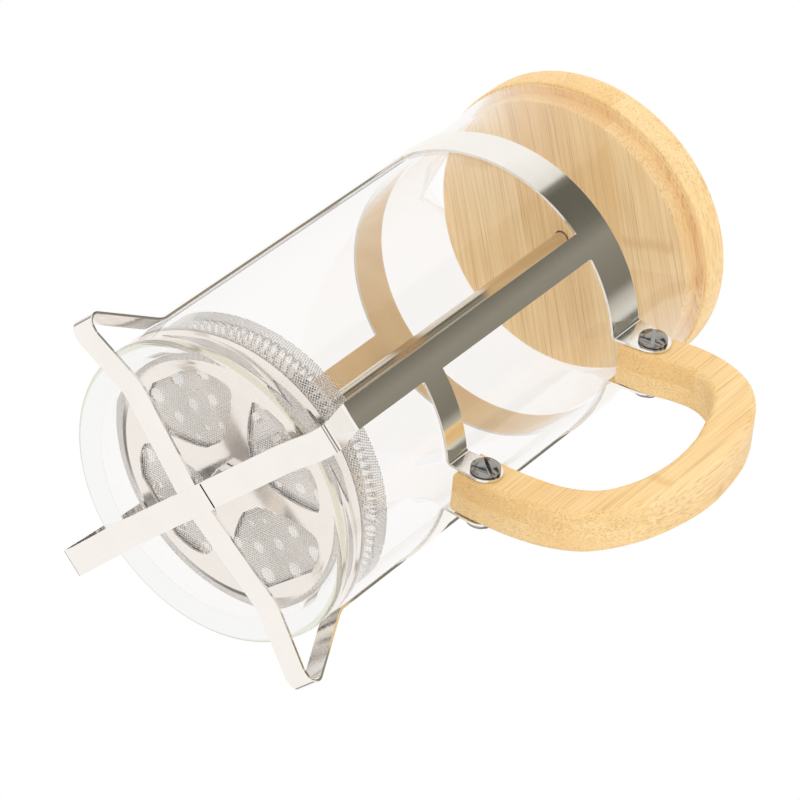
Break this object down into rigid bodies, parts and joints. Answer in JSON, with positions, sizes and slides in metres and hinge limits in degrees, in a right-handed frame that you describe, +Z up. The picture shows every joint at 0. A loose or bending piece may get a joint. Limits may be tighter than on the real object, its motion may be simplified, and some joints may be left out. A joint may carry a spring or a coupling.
{
  "type": "french press",
  "caption": "Glass french press coffee maker in a folded steel strap cage, with a bamboo bow handle, bamboo lid and knob, and a plunger with a mesh filter.",
  "frame": {"origin": "on the table plane under the four folded feet, at the middle of the outline in X and Y", "axes": "+Z up along the beaker's axis, +X from the pouring spout towards the handle, +Y across"},
  "size_m": [0.1668, 0.101, 0.2311],
  "materials": {
    "glass": "clear polished borosilicate",
    "cage_steel": "polished stainless sheet",
    "filter_steel": "polished stainless",
    "steel_mesh": "fine woven stainless screen",
    "fastener_steel": "polished steel",
    "handle_bamboo": "sealed laminated bamboo, satin",
    "lid_bamboo": "sealed turned bamboo, satin"
  },
  "bodies": {
    "vessel": {"glass_beaker": "glass", "strap_cage": "cage_steel", "handle": "handle_bamboo", "upper_handle_screw": "fastener_steel", "lower_handle_screw": "fastener_steel", "upper_sleeve_nut": "fastener_steel", "lower_sleeve_nut": "fastener_steel"},
    "cover": {"lid": "lid_bamboo"},
    "plunger": {"plunger_rod": "filter_steel", "knob": "lid_bamboo", "knob_insert": "fastener_steel", "rod_collar": "filter_steel", "spiral_plate": "filter_steel", "edge_spring": "filter_steel", "mesh_screen": "steel_mesh", "cross_plate": "filter_steel", "hub_nut": "filter_steel"}
  },
  "joints": [
    {"name": "lid_lift", "type": "slide", "parent": "vessel", "child": "cover", "axis": [0, 0, 1], "range_m": [0, 0.195]},
    {"name": "plunge", "type": "slide", "parent": "cover", "child": "plunger", "axis": [0, 0, 1], "range_m": [0, 0.155]}
  ]
}
